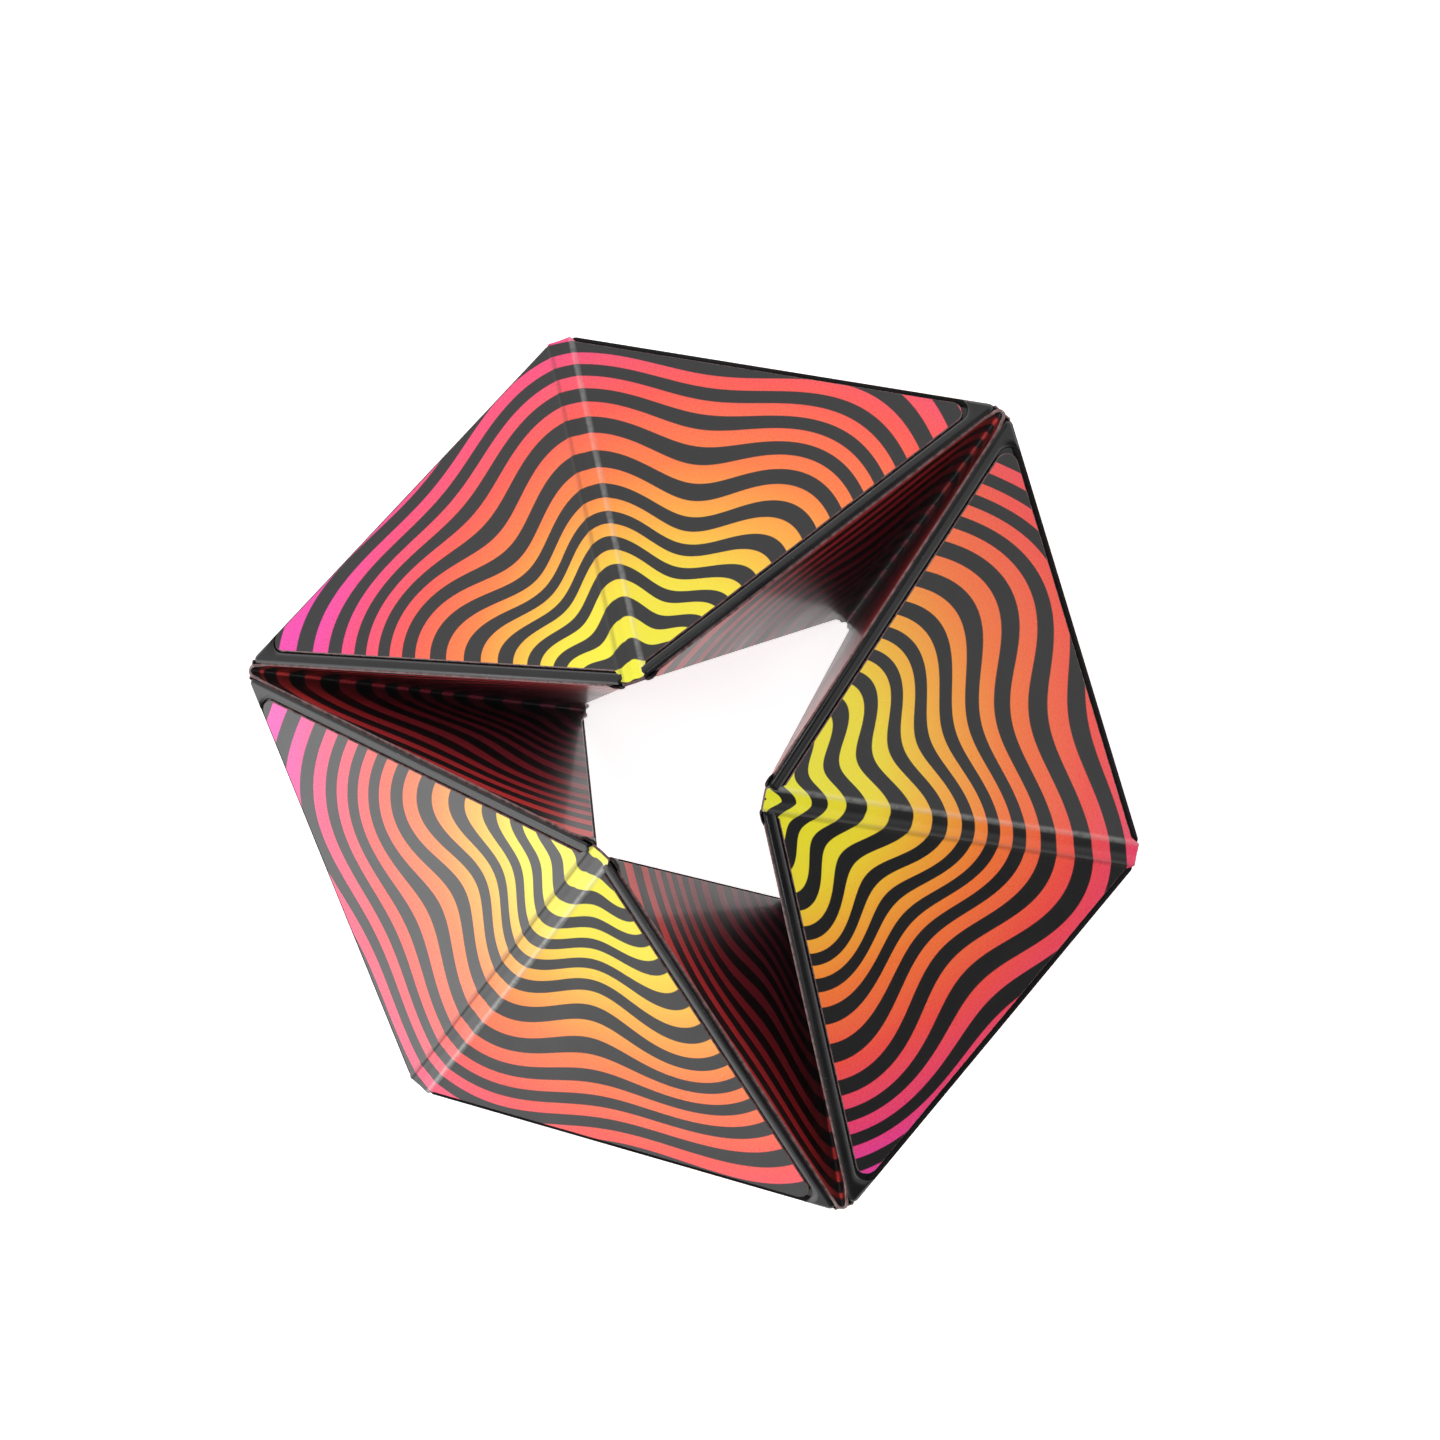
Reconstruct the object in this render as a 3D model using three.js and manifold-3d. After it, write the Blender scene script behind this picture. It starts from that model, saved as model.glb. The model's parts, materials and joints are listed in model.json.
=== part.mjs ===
// A folding ring of six hollow wedges, each a four-cornered solid filled with magnets.
//
// Every wedge is a tetrahedron with two opposite hinge edges of one length, square to each other.
// It shares one hinge edge with the wedge before it and the other with the wedge behind it, so the
// six wedges close into a ring that can be turned inside out. Three of the shared edges are ridges,
// whose inner ends P..Q rise to the middle, and the three between them are valleys, whose outer
// ends stand up. Each wedge has
//   - two moulded shell halves, one folded round the ridge edge and one round the valley edge,
//   - four printed film panels, one let into each face,
//   - four disc magnets, one in a round pocket behind each face.
//
// Corners of a wedge: P and Q end its ridge edge (P outside, Q inside and raised), R and S end its
// valley edge (R outside and raised, S inside and low, where the ring stands).
// The frame has its origin at the ring's centre and +Z along the ring's threefold axis.

import * as THREE from "three";
import { ConvexGeometry } from "three/addons/geometries/ConvexGeometry.js";
import { mergeVertices } from "three/addons/utils/BufferGeometryUtils.js";
import Module from "manifold-3d";

const wasm = await Module();
wasm.setup();

// Driving dimensions, in millimetres and degrees.
const HINGE_LENGTH = 48;
const VALLEY_OPENING = 81; // angle between the two links that meet at a valley hinge
const FACE_CLEARANCE = 0.2; // from the ideal face to the moulded rim, so faces can meet
const EDGE_RADIUS = 0.8; // rounding of the rim along every edge
const EDGE_STEPS = 3; // facets round an edge
const RECESS_DEPTH = 0.7; // floor under the film, below the rim
const WALL = 1.2;
const SEAM_GAP = 0.3; // between the two shell halves
const RIM_WIDTH = 2.2; // from the ideal free edge to the recess
const RECESS_CORNER = 1.4; // corner radii of the recess and of the film in it
const FILM_THICKNESS = 0.35;
const FILM_GAP = 0.15; // glue line under the film, and the slit round it
const FILM_SETBACK = 1.9; // from the hinge line to the stiff part of the film
const MAGNET_RADIUS = 4;
const MAGNET_THICKNESS = 2;
const MAGNET_GAP = 0.3;
const POCKET_WALL = 1;
const POCKET_DEPTH = 2.4;
const ROUND_STEPS = 20; // facets round a magnet
const CORNER_STEPS = 3; // facets round a film corner

// Proportions of the closed ring: a face is as high as its hinge edge is long.
const LINK_LENGTH = (HINGE_LENGTH * Math.sqrt(3)) / 2; // between the middles of the hinge edges
const HALF_HINGE = HINGE_LENGTH / 2;
const HALF_LINK = LINK_LENGTH / 2;
const FACE_HEIGHT = Math.hypot(LINK_LENGTH, HALF_HINGE);
const WEDGE_VOLUME = (HINGE_LENGTH * HINGE_LENGTH * LINK_LENGTH) / 6;
const INRADIUS = (3 * WEDGE_VOLUME) / (2 * HINGE_LENGTH * FACE_HEIGHT);
const FOOT = Math.sqrt(HALF_LINK ** 2 - INRADIUS ** 2); // hinge edge to the wedge centre's foot

const colours = { shell: 0x17181a, film: 0xf58a3c, magnet: 0xb9bcc2 };

const shellMaterial = new THREE.MeshStandardMaterial({ color: colours.shell, roughness: 0.3 });
const filmMaterial = new THREE.MeshStandardMaterial({ color: colours.film, roughness: 0.35 });
const magnetMaterial = new THREE.MeshStandardMaterial({
  color: colours.magnet,
  roughness: 0.25,
  metalness: 1,
});

// ---- Solids -------------------------------------------------------------------------------

function solid(geometry) {
  const bare = geometry.clone();
  bare.deleteAttribute("normal");
  bare.deleteAttribute("uv");
  const merged = mergeVertices(bare, 1e-4);
  const mesh = new wasm.Mesh({
    numProp: 3,
    vertProperties: new Float32Array(merged.attributes.position.array),
    triVerts: new Uint32Array(merged.index.array),
  });
  return new wasm.Manifold(mesh);
}

function geometryOf(manifold) {
  const mesh = manifold.getMesh();
  const geometry = new THREE.BufferGeometry();
  geometry.setAttribute("position", new THREE.BufferAttribute(mesh.vertProperties, 3));
  geometry.setIndex(new THREE.BufferAttribute(mesh.triVerts, 1));
  geometry.computeVertexNormals();
  return geometry;
}

// ---- One wedge in its own frame -----------------------------------------------------------
// The wedge's centre is the origin, and +X runs along the link, from the ridge edge to the valley
// edge. The ridge edge lies along Y at -X, and the valley edge along Z at +X.

const ridgeLow = new THREE.Vector3(-HALF_LINK, -HALF_HINGE, 0);
const ridgeHigh = new THREE.Vector3(-HALF_LINK, HALF_HINGE, 0);
const valleyHigh = new THREE.Vector3(HALF_LINK, 0, HALF_HINGE);
const valleyLow = new THREE.Vector3(HALF_LINK, 0, -HALF_HINGE);
const corners = [ridgeLow, ridgeHigh, valleyHigh, valleyLow];

// Turns that carry the wedge onto itself: they move the first face onto each of the four.
const ontoRidgeFront = new THREE.Matrix4();
const ontoRidgeBack = new THREE.Matrix4().makeRotationX(Math.PI);
const ontoValleyFront = new THREE.Matrix4().makeBasis(
  new THREE.Vector3(-1, 0, 0),
  new THREE.Vector3(0, 0, 1),
  new THREE.Vector3(0, 1, 0),
);
const ontoValleyBack = ontoValleyFront.clone().multiply(ontoRidgeBack);

// The plane of the first face: X along the ridge edge, Y up the face, Z outward.
const onFirstFace = new THREE.Matrix4();
{
  const alongEdge = new THREE.Vector3(0, -1, 0);
  const upFace = new THREE.Vector3(LINK_LENGTH, 0, HALF_HINGE).normalize();
  const outward = new THREE.Vector3().crossVectors(alongEdge, upFace);
  onFirstFace.makeBasis(alongEdge, upFace, outward);
  onFirstFace.setPosition(-HALF_LINK, 0, 0);
}

// All four faces are INRADIUS from the centre, so shrinking the wedge about its centre moves
// every face inward by the same depth.
function inset(corner, depth) {
  return corner.clone().multiplyScalar(1 - depth / INRADIUS);
}

function outwardNormal(corner) {
  const [a, b, c] = corners.filter((other) => other !== corner);
  const normal = new THREE.Vector3().crossVectors(b.clone().sub(a), c.clone().sub(a)).normalize();
  return normal.multiplyScalar(-Math.sign(normal.dot(corner)));
}

// The wedge with every edge and corner rounded, as the hull of a rounded cap at each corner.
function roundedWedge() {
  const points = [];
  for (const corner of corners) {
    const centre = inset(corner, FACE_CLEARANCE + EDGE_RADIUS);
    const [n0, n1, n2] = corners.filter((other) => other !== corner).map(outwardNormal);
    for (let i = 0; i <= EDGE_STEPS; i++) {
      for (let j = 0; j <= EDGE_STEPS - i; j++) {
        const out = n0.clone().multiplyScalar(i).addScaledVector(n1, j);
        out.addScaledVector(n2, EDGE_STEPS - i - j).normalize();
        points.push(centre.clone().addScaledVector(out, EDGE_RADIUS));
      }
    }
  }
  return solid(new ConvexGeometry(points));
}

function cavity() {
  const depth = FACE_CLEARANCE + RECESS_DEPTH + WALL;
  return solid(new ConvexGeometry(corners.map((corner) => inset(corner, depth))));
}

// A face's outline with rounded corners, set back from its hinge edge and from its free edges.
function faceOutline(hingeSetback, freeSetback, cornerRadius) {
  const slope = Math.atan2(FACE_HEIGHT, HALF_HINGE);
  const setback = freeSetback + cornerRadius;
  const apexY = FACE_HEIGHT - setback / Math.cos(slope);
  const baseY = hingeSetback + cornerRadius;
  const baseX = (apexY - baseY) / Math.tan(slope);
  const outline = new THREE.Shape();
  outline.absarc(baseX, baseY, cornerRadius, -Math.PI / 2, Math.PI / 2 - slope);
  outline.absarc(0, apexY, cornerRadius, Math.PI / 2 - slope, Math.PI / 2 + slope);
  outline.absarc(-baseX, baseY, cornerRadius, Math.PI / 2 + slope, (Math.PI * 3) / 2);
  outline.closePath();
  return outline;
}

// A plate in the plane of the first face, between two depths below the ideal face.
function facePlate(outline, topDepth, bottomDepth, curveSegments) {
  const depth = bottomDepth - topDepth;
  const plate = new THREE.ExtrudeGeometry(outline, { depth, bevelEnabled: false, curveSegments });
  plate.translate(0, 0, -bottomDepth);
  plate.applyMatrix4(onFirstFace);
  return plate;
}

// Cuts the bed of the film, which runs out over the hinge edge.
function recessCutter() {
  const outline = faceOutline(-2 * RIM_WIDTH, RIM_WIDTH, RECESS_CORNER);
  const floor = FACE_CLEARANCE + RECESS_DEPTH;
  return solid(facePlate(outline, -RIM_WIDTH, floor, CORNER_STEPS));
}

// A round wall inside the first face that holds its magnet.
function magnetPocket() {
  const innerRadius = MAGNET_RADIUS + MAGNET_GAP;
  const ring = new THREE.Shape();
  ring.absarc(0, FOOT, innerRadius + POCKET_WALL, 0, 2 * Math.PI);
  const hole = new THREE.Path();
  hole.absarc(0, FOOT, innerRadius, 0, 2 * Math.PI, true);
  ring.holes.push(hole);
  const wallTop = FACE_CLEARANCE + RECESS_DEPTH + WALL / 2;
  const wallBottom = FACE_CLEARANCE + RECESS_DEPTH + WALL + POCKET_DEPTH;
  return solid(facePlate(ring, wallTop, wallBottom, ROUND_STEPS / 2));
}

// The space round the ridge edge, out to the seams, which run from the wedge's centre through its
// four free edges. It is two pyramids side by side, moved towards the ridge edge by the seam.
function ridgeSideSpace() {
  const reach = 1.2;
  const centre = new THREE.Vector3();
  const far = corners.map((corner) => corner.clone().multiplyScalar(reach));
  const front = solid(new ConvexGeometry([centre, far[0], far[1], far[2]]));
  const back = solid(new ConvexGeometry([centre, far[0], far[1], far[3]]));
  const seamNormal = new THREE.Vector3().crossVectors(ridgeLow, valleyHigh).normalize();
  const shift = SEAM_GAP / 2 / Math.abs(seamNormal.x);
  return front.add(back).translate([-shift, 0, 0]);
}

// The shell half that is folded round the ridge edge. The other half is the same piece turned.
function shellHalf() {
  const twin = ontoRidgeBack.elements;
  const hollow = roundedWedge().subtract(cavity());
  const recess = recessCutter();
  const pocket = magnetPocket();
  const bedded = hollow.subtract(recess).subtract(recess.transform(twin));
  const half = bedded.intersect(ridgeSideSpace());
  return geometryOf(half.add(pocket).add(pocket.transform(twin)));
}

function filmPanel() {
  const bottom = FACE_CLEARANCE + RECESS_DEPTH - FILM_GAP;
  const outline = faceOutline(FILM_SETBACK, RIM_WIDTH + FILM_GAP, RECESS_CORNER - FILM_GAP);
  return facePlate(outline, bottom - FILM_THICKNESS, bottom, CORNER_STEPS);
}

function magnet() {
  const disc = new THREE.CylinderGeometry(
    MAGNET_RADIUS,
    MAGNET_RADIUS,
    MAGNET_THICKNESS,
    ROUND_STEPS,
  );
  const behindWall = FACE_CLEARANCE + RECESS_DEPTH + WALL + MAGNET_GAP;
  disc.rotateX(Math.PI / 2);
  disc.translate(0, FOOT, -behindWall - MAGNET_THICKNESS / 2);
  disc.applyMatrix4(onFirstFace);
  return disc;
}

// ---- The ring -----------------------------------------------------------------------------

// The ridge hinges' opening follows from the valley hinges': their cosines v and r are tied by
// v + r = v r in a ring that stays closed and threefold.
const valleyCosine = Math.cos(THREE.MathUtils.degToRad(VALLEY_OPENING));
const valleyHalfAngle = Math.acos(valleyCosine) / 2;
const ridgeHalfAngle = Math.acos(valleyCosine / (valleyCosine - 1)) / 2;
const ridgeRadius = (2 * LINK_LENGTH * Math.sin(valleyHalfAngle)) / Math.sqrt(3);
const valleyRadius = (2 * LINK_LENGTH * Math.sin(ridgeHalfAngle)) / Math.sqrt(3);
const flatReach = ridgeRadius ** 2 + valleyRadius ** 2 - ridgeRadius * valleyRadius;
const rise = Math.sqrt(LINK_LENGTH ** 2 - flatReach); // ridge middles above valley middles

function ringPoint(radius, azimuth, height) {
  const angle = THREE.MathUtils.degToRad(azimuth);
  return new THREE.Vector3(radius * Math.cos(angle), radius * Math.sin(angle), height);
}

// Middles of the hinge edges, in ring order: the ring runs clockwise seen from above.
const ridges = [0, 1, 2].map((i) => ringPoint(ridgeRadius, 90 - 120 * i, rise / 2));
const valleys = [0, 1, 2].map((i) => ringPoint(valleyRadius, 30 - 120 * i, -rise / 2));

// A hinge edge is square to both links that meet at it.
function hingeDirection(middle, before, after) {
  const direction = new THREE.Vector3();
  direction.crossVectors(before.clone().sub(middle), after.clone().sub(middle));
  return direction.normalize();
}

const halfShell = shellHalf();
const panel = filmPanel();
const disc = magnet();

function named(name, geometry, material, placing) {
  const mesh = new THREE.Mesh(geometry, material);
  mesh.name = name;
  mesh.applyMatrix4(placing);
  return mesh;
}

// A wedge placed in the ring. Neighbours are mirror images, so the face that is on top comes
// before the middle plane on one wedge and behind it on the next.
function wedge(number) {
  const index = Math.floor((number - 1) / 2);
  const isOdd = number % 2 === 1;
  const ridge = ridges[index];
  const valley = valleys[isOdd ? (index + 2) % 3 : index];
  const before = valleys[(index + 2) % 3];
  const towardsPeak = hingeDirection(ridge, before, valleys[index]);
  const alongLink = valley.clone().sub(ridge).normalize();
  const sideways = new THREE.Vector3().crossVectors(alongLink, towardsPeak);
  const group = new THREE.Group();
  group.applyMatrix4(new THREE.Matrix4().makeBasis(alongLink, towardsPeak, sideways));
  group.position.copy(ridge).add(valley).multiplyScalar(0.5);

  const topTurn = sideways.z > 0 ? ontoRidgeFront : ontoRidgeBack;
  const underTurn = sideways.z > 0 ? ontoRidgeBack : ontoRidgeFront;
  const faces = {
    top: topTurn,
    under: underTurn,
    gap: ontoValleyFront,
    side: ontoValleyBack,
  };
  const prefix = `wedge_${number}_`;
  group.add(named(`${prefix}shell_upper`, halfShell, shellMaterial, ontoRidgeFront));
  group.add(named(`${prefix}shell_lower`, halfShell, shellMaterial, ontoValleyFront));
  for (const [face, turn] of Object.entries(faces)) {
    group.add(named(`${prefix}film_${face}`, panel, filmMaterial, turn));
    group.add(named(`${prefix}magnet_${face}`, disc, magnetMaterial, turn));
  }
  return group;
}

const ring = new THREE.Group();
for (let number = 1; number <= 6; number++) {
  ring.add(wedge(number));
}

export default ring;
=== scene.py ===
"""Looks for the folding magnetic ring: six hinged wedges with moulded rims and striped film.

The wedges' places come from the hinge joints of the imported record. Shapes are built in
millimetres in a wedge's or a hinge's own frame, and turned into metres when they are placed.
"""

import json
import math
from types import SimpleNamespace

import bmesh
import bpy
from mathutils import Matrix, Vector


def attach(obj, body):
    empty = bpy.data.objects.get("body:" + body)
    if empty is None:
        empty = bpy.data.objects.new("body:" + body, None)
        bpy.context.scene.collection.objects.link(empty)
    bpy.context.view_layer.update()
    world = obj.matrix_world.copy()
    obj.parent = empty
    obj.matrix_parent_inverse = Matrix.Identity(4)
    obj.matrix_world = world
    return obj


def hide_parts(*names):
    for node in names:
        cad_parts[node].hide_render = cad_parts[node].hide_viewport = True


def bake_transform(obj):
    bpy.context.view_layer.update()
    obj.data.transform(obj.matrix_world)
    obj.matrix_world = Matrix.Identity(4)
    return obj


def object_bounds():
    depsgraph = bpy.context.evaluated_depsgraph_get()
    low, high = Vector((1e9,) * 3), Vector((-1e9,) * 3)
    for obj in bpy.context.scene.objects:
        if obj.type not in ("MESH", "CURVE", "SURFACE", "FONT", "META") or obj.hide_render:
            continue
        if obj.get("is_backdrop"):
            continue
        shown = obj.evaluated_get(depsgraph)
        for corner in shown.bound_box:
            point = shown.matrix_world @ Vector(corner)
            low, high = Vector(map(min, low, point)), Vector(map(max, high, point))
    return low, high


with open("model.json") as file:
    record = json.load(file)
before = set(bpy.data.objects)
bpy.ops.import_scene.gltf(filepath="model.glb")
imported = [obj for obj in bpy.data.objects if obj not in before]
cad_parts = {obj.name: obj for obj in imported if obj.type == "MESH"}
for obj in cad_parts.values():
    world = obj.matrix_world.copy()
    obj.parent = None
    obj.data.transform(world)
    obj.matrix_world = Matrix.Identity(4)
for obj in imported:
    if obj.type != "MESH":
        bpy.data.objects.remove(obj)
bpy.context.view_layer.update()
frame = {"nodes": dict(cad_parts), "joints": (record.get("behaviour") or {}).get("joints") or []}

MM = 0.001

# ---- Driving dimensions in millimetres ------------------------------------------------------
# The shell, as in the CAD part
FACE_CLEARANCE = 0.2
EDGE_RADIUS = 0.8
CAP_STEPS = 7
WALL_DEPTH = 2.1  # depth of the hollow below a face
SEAM_GAP = 0.3
BED_DEPTH = 0.9  # floor that the film lies on
BED_SIDE = 2.25  # border of the bed on a free edge that has a rim
BARE_SIDE = 0.65  # and on a free edge that has none
RIM_CREST = 1.35  # highest line of the half-round rim, from the free edge
RIM_FOOT = 2.2
RIM_DROP = 0.45
RIM_STEPS = 9
CORNER_RADIUS = 1.55
CORNER_STEPS = 12
CUT_ABOVE_FACE = 2.0  # how far a cutter reaches past the face, and past the hinge edge
CUT_PAST_HINGE = -4.0
POCKET_INNER = 4.3
POCKET_OUTER = 5.3
POCKET_TOP = 1.5
POCKET_BOTTOM = 4.5
POCKET_SIDES = 40
PAST_CORNER = 1.3  # a shell half is cut from a space this many times the wedge's size
WELD = 0.0001  # points nearer than this become one
SHELL_SHARP_ANGLE = 30  # degrees between faces where the shading breaks

# The film
FILM_DEPTH = 0.4
FILM_THICKNESS = 0.35
FILM_BEVEL = 0.1
FILM_RIM_SIDE = 2.35  # border of the film on a free edge that has a rim
FILM_BARE_SIDE = 0.9  # and on one that has none
TOP_BARE_SIDE = {1: 0.8, 2: 1.2, 3: 1.35, 4: 1.35, 5: 1.1, 6: 0.85}  # the sheets sit a little askew
FOLD_LINE = 1.4  # each crease of a convex sheet, from the hinge line
FOLD_SPREAD = 0.45  # the bend starts and ends this far from the crease
FOLD_LIP = 0.09  # raised line on the crease
FOLD_LIP_WIDTH = 0.22
FOLD_SAG = 0.05  # dip between the two creases
FOLD_SAG_WIDTH = 0.55
CREASED_STEPS = 24  # points over a convex fold's section
HOLLOW_STEPS = 14  # and over a hollow one's
HOLLOW_TURN = 0.26  # half-width of a hollow fold's round bottom
HOLLOW_RISE = (0.34, 0.3)  # from there the side rises, first steeply
HOLLOW_LEAN = 0.45  # and then leans this share of the way to the panel
HOLLOW_RUN = 0.9  # length over which it settles into the panel
HOLLOW_CROWDING = 1.5  # above 1 the points stand closer at the middle
FILM_CORNER = 1.4
FILM_CORNER_STEPS = 14
TAB_FADE = 0.8  # over this distance a tab at the hinge narrows into the sheet
COLUMNS = 20
FLAT_ROWS = (0.15, 0.35, 0.6, 0.9, 1.4, 2.4, 5, 9, 14, 19, 24, 29, 34, 38)  # past the fold
LAST_ROW = 39  # the rounded corner begins beyond this height
LAST_ROW_HALF = 0.02  # the outermost row is nearly a point
FILM_SHARP_ANGLE = 28

# ---- The ring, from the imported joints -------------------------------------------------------
joints = {joint["name"]: joint for joint in frame["joints"]}


def hinge_of(name):
    """Middle of a hinge edge in millimetres, and its direction with z up."""
    middle = Vector(joints[name]["pos_m"]) / MM
    direction = Vector(joints[name]["axis"]).normalized()
    if direction.z < 0:
        direction.negate()
    return middle, direction


third_turn = Matrix.Rotation(math.radians(-120), 3, "Z")
hinges = {
    (1, 2): hinge_of("ridge_hinge_1_2"),
    (3, 4): hinge_of("ridge_hinge_3_4"),
    (5, 6): hinge_of("ridge_hinge_5_6"),
    (6, 1): hinge_of("valley_hinge_6_1"),
    (4, 5): hinge_of("valley_hinge_4_5"),
}
hinges[(2, 3)] = tuple(third_turn @ v for v in hinges[(6, 1)])  # the open pivot has no joint

ridge_of = {1: (1, 2), 2: (1, 2), 3: (3, 4), 4: (3, 4), 5: (5, 6), 6: (5, 6)}
valley_of = {1: (6, 1), 2: (2, 3), 3: (2, 3), 4: (4, 5), 5: (4, 5), 6: (6, 1)}

LINK = (hinges[(1, 2)][0] - hinges[(6, 1)][0]).length
HINGE = 2 * LINK / math.sqrt(3)  # a hinge edge, and the height of a face
HALF = HINGE / 2
INRADIUS = LINK / 4


def wedge_axes(number):
    """Centre and axes of a wedge: X to the valley, Y to the inner peak, Z to the outer peak."""
    ridge, inner = hinges[ridge_of[number]]
    valley, outer = hinges[valley_of[number]]
    along = (valley - ridge).normalized()
    return (ridge + valley) / 2, along, inner, outer


# ---- Mesh helpers ---------------------------------------------------------------------------
def new_object(name, verts, faces):
    mesh = bpy.data.meshes.new(name)
    mesh.from_pydata([tuple(v) for v in verts], [], faces)
    mesh.validate()
    made = bpy.data.objects.new(name, mesh)
    bpy.context.scene.collection.objects.link(made)
    return made


def outward_normals(obj):
    work = bmesh.new()
    work.from_mesh(obj.data)
    bmesh.ops.recalc_face_normals(work, faces=work.faces)
    work.to_mesh(obj.data)
    work.free()
    return obj


def hull(name, points):
    """The convex hull of some points, as an object."""
    work = bmesh.new()
    for point in points:
        work.verts.new(point)
    bmesh.ops.convex_hull(work, input=work.verts)
    loose = [v for v in work.verts if not v.link_faces]
    bmesh.ops.delete(work, geom=loose, context="VERTS")
    mesh = bpy.data.meshes.new(name)
    work.to_mesh(mesh)
    work.free()
    obj = bpy.data.objects.new(name, mesh)
    bpy.context.scene.collection.objects.link(obj)
    return outward_normals(obj)


def combine(target, tool, operation):
    """Applies a boolean of tool to target, and removes the tool."""
    modifier = target.modifiers.new("combine", "BOOLEAN")
    modifier.operation = operation
    modifier.solver = "EXACT"
    modifier.object = tool
    graph = bpy.context.evaluated_depsgraph_get()
    result = bpy.data.meshes.new_from_object(target.evaluated_get(graph))
    target.modifiers.clear()
    old = target.data
    target.data = result
    bpy.data.meshes.remove(old)
    bpy.data.objects.remove(tool)
    return target


# ---- One wedge in its own frame -------------------------------------------------------------
RIDGE_LOW = Vector((-LINK / 2, -HALF, 0))
RIDGE_HIGH = Vector((-LINK / 2, HALF, 0))
VALLEY_HIGH = Vector((LINK / 2, 0, HALF))
VALLEY_LOW = Vector((LINK / 2, 0, -HALF))
CORNERS = [RIDGE_LOW, RIDGE_HIGH, VALLEY_HIGH, VALLEY_LOW]

FACE_UP = Vector((LINK, 0, HALF)).normalized()
FACE_OUT = Vector((-HALF, 0, LINK)).normalized()
HALF_TURN = Matrix.Rotation(math.pi, 4, "X")  # carries one ridge face onto the other, end for end
FLIP_Z = Matrix.Diagonal((1, 1, -1, 1))  # mirrors one ridge face onto the other
ONTO_VALLEY_HALF = Matrix(((-1, 0, 0, 0), (0, 0, 1, 0), (0, 1, 0, 0), (0, 0, 0, 1)))


def on_top_face(y, up, depth):
    """A point of the first face's frame: y along the hinge edge, up the face, depth below it."""
    return Vector((-LINK / 2, y, 0)) + FACE_UP * up - FACE_OUT * depth


def inset(corner, depth):
    """A corner of the wedge whose faces all lie deeper by depth."""
    return corner * (1 - depth / INRADIUS)


def rounded_wedge():
    """The outer shape of a wedge: the hull of a rounded cap at each corner."""
    points = []
    for corner in CORNERS:
        others = [c for c in CORNERS if c is not corner]
        normals = []
        for other in others:
            a, b, c = [p for p in CORNERS if p is not other]
            normal = (b - a).cross(c - a).normalized()
            normals.append(normal if normal.dot(other) < 0 else -normal)
        centre = inset(corner, FACE_CLEARANCE + EDGE_RADIUS)
        for i in range(CAP_STEPS + 1):
            for j in range(CAP_STEPS + 1 - i):
                k = CAP_STEPS - i - j
                out = normals[0] * i + normals[1] * j + normals[2] * k
                points.append(centre + out.normalized() * EDGE_RADIUS)
    return hull("rounded_wedge", points)


def side_line(offset, up):
    """Half-width of a face at a height, after its free edge is moved in by offset."""
    return HALF - up / 2 - offset * math.sqrt(5) / 2


def corner_arc(peak_side, root_side, radius, steps):
    """Rounded far corner of a face, set back by one offset at +y and by another at -y."""
    lean = math.atan(0.5)
    shift = math.sqrt(5) / 2
    top = HINGE - (peak_side + radius + root_side + radius) * shift
    centre_y = (root_side - peak_side) * shift / 2
    points = []
    for i in range(steps + 1):
        angle = lean + (math.pi - 2 * lean) * i / steps
        points.append((centre_y + radius * math.cos(angle), top + radius * math.sin(angle)))
    return points


def bed_cutter(rim_at_peak, rim_at_root):
    """The film's bed under the first face, with a half-round rim left standing at +y or -y."""
    levels = [(BED_DEPTH, BED_SIDE)]
    for i in range(RIM_STEPS):
        turn = math.pi / 2 * (RIM_STEPS - i) / RIM_STEPS
        side = RIM_CREST + (RIM_FOOT - RIM_CREST) * math.sin(turn)
        depth = FACE_CLEARANCE + RIM_DROP * (1 - math.cos(turn))
        levels.append((depth, side))
    levels.append((-CUT_ABOVE_FACE, levels[-1][1]))
    below = CUT_PAST_HINGE
    verts = []
    for depth, side in levels:
        peak_side = side if rim_at_peak else BARE_SIDE
        root_side = side if rim_at_root else BARE_SIDE
        outline = [(side_line(peak_side, below), below)]
        outline += corner_arc(peak_side, root_side, CORNER_RADIUS, CORNER_STEPS)
        outline += [(-side_line(root_side, below), below)]
        verts += [on_top_face(y, up, depth) for y, up in outline]
    count = len(outline)
    faces = [tuple(range(count)), tuple(range(len(verts) - count, len(verts)))]
    for level in range(len(levels) - 1):
        for i in range(count):
            a = level * count + i
            b = level * count + (i + 1) % count
            faces.append((a, b, b + count, a + count))
    return outward_normals(new_object("bed_cutter", verts, faces))


def magnet_pocket():
    """A ring under the first face, round the point nearest to the wedge's centre."""
    foot = math.sqrt((LINK / 2) ** 2 - INRADIUS**2)
    steps = POCKET_SIDES
    section = (
        (POCKET_INNER, POCKET_TOP),
        (POCKET_OUTER, POCKET_TOP),
        (POCKET_OUTER, POCKET_BOTTOM),
        (POCKET_INNER, POCKET_BOTTOM),
    )
    verts = []
    for radius, depth in section:
        for i in range(steps):
            angle = 2 * math.pi * i / steps
            y, up = radius * math.cos(angle), foot + radius * math.sin(angle)
            verts.append(on_top_face(y, up, depth))
    faces = []
    for ring in range(len(section)):
        start = ring * steps
        following = (ring + 1) % len(section) * steps
        for i in range(steps):
            j = (i + 1) % steps
            faces.append((start + i, start + j, following + j, following + i))
    return outward_normals(new_object("magnet_pocket", verts, faces))


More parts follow.
